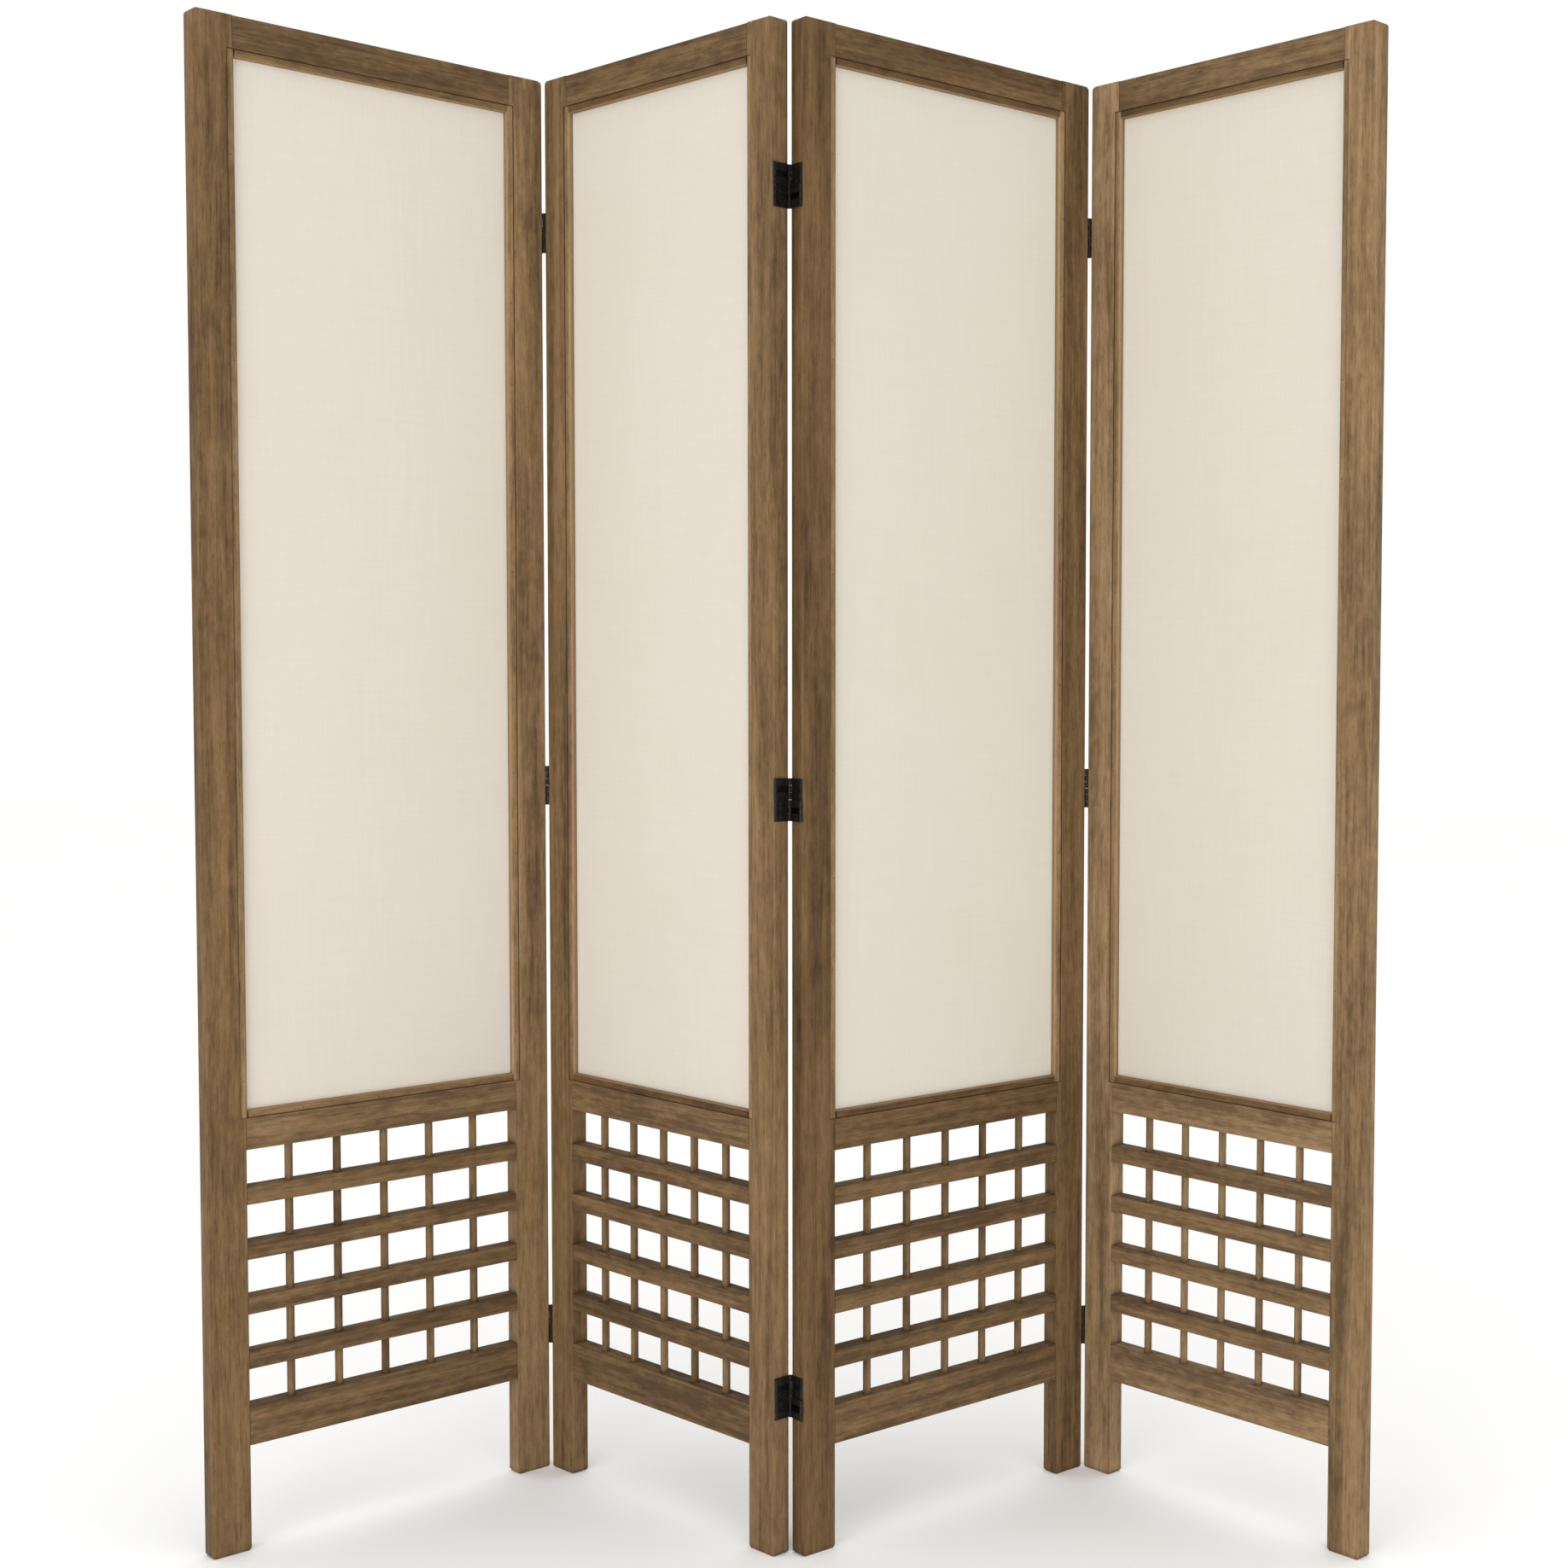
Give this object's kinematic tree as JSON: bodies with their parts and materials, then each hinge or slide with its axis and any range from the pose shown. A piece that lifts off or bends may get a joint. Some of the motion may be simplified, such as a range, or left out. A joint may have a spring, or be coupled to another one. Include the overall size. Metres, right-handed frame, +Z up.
{
  "type": "room divider",
  "caption": "Folding screen: hinged wooden frames with fabric above an open lattice of slats and rods, standing in a zigzag.",
  "frame": {"origin": "centre of the standing screen's outline, on the floor", "axes": "+Z up, +X along the screen to the right as seen from the front, +Y away from the viewer in front"},
  "size_m": [1.3722, 0.3416, 1.79],
  "materials": {
    "frame_wood": "weathered grey-brown stain, satin",
    "lattice_wood": "weathered grey-brown stain, satin",
    "bead_wood": "weathered grey-brown stain, satin",
    "fabric": "plain woven cream muslin",
    "hinge_black": "black, semi-gloss"
  },
  "bodies": {
    "panel_1": {"panel_1_bead_strips": "bead_wood", "panel_1_bottom_rail": "frame_wood", "panel_1_fabric": "fabric", "panel_1_lattice_rods": "lattice_wood", "panel_1_lattice_slats": "lattice_wood", "panel_1_left_stile": "frame_wood", "panel_1_mid_rail": "frame_wood", "panel_1_right_stile": "frame_wood", "panel_1_top_rail": "frame_wood", "fold_1_left_leaves": "hinge_black", "fold_1_lower_links": "hinge_black"},
    "panel_2": {"panel_2_bead_strips": "bead_wood", "panel_2_bottom_rail": "frame_wood", "panel_2_fabric": "fabric", "panel_2_lattice_rods": "lattice_wood", "panel_2_lattice_slats": "lattice_wood", "panel_2_left_stile": "frame_wood", "panel_2_mid_rail": "frame_wood", "panel_2_right_stile": "frame_wood", "panel_2_top_rail": "frame_wood", "fold_1_right_leaves": "hinge_black", "fold_1_upper_links": "hinge_black", "fold_2_left_leaves": "hinge_black", "fold_2_upper_links": "hinge_black"},
    "panel_3": {"panel_3_bead_strips": "bead_wood", "panel_3_bottom_rail": "frame_wood", "panel_3_fabric": "fabric", "panel_3_lattice_rods": "lattice_wood", "panel_3_lattice_slats": "lattice_wood", "panel_3_left_stile": "frame_wood", "panel_3_mid_rail": "frame_wood", "panel_3_right_stile": "frame_wood", "panel_3_top_rail": "frame_wood", "fold_2_right_leaves": "hinge_black", "fold_2_lower_links": "hinge_black", "fold_3_left_leaves": "hinge_black", "fold_3_lower_links": "hinge_black"},
    "panel_4": {"panel_4_bead_strips": "bead_wood", "panel_4_bottom_rail": "frame_wood", "panel_4_fabric": "fabric", "panel_4_lattice_rods": "lattice_wood", "panel_4_lattice_slats": "lattice_wood", "panel_4_left_stile": "frame_wood", "panel_4_mid_rail": "frame_wood", "panel_4_right_stile": "frame_wood", "panel_4_top_rail": "frame_wood", "fold_3_right_leaves": "hinge_black", "fold_3_upper_links": "hinge_black"}
  },
  "joints": [
    {"name": "fold_1", "type": "hinge", "parent": "panel_1", "child": "panel_2", "pos_m": [-0.35301, 0.14451, 0], "axis": [0, 0, 1], "range_deg": [-92.2, 85.8]},
    {"name": "fold_2", "type": "hinge", "parent": "panel_2", "child": "panel_3", "pos_m": [-0.00038, -0.13495, 0], "axis": [0, 0, -1], "range_deg": [-93.9, 84.1]},
    {"name": "fold_3", "type": "hinge", "parent": "panel_3", "child": "panel_4", "pos_m": [0.3438, 0.15485, 0], "axis": [0, 0, 1], "range_deg": [-92.3, 85.7]}
  ]
}
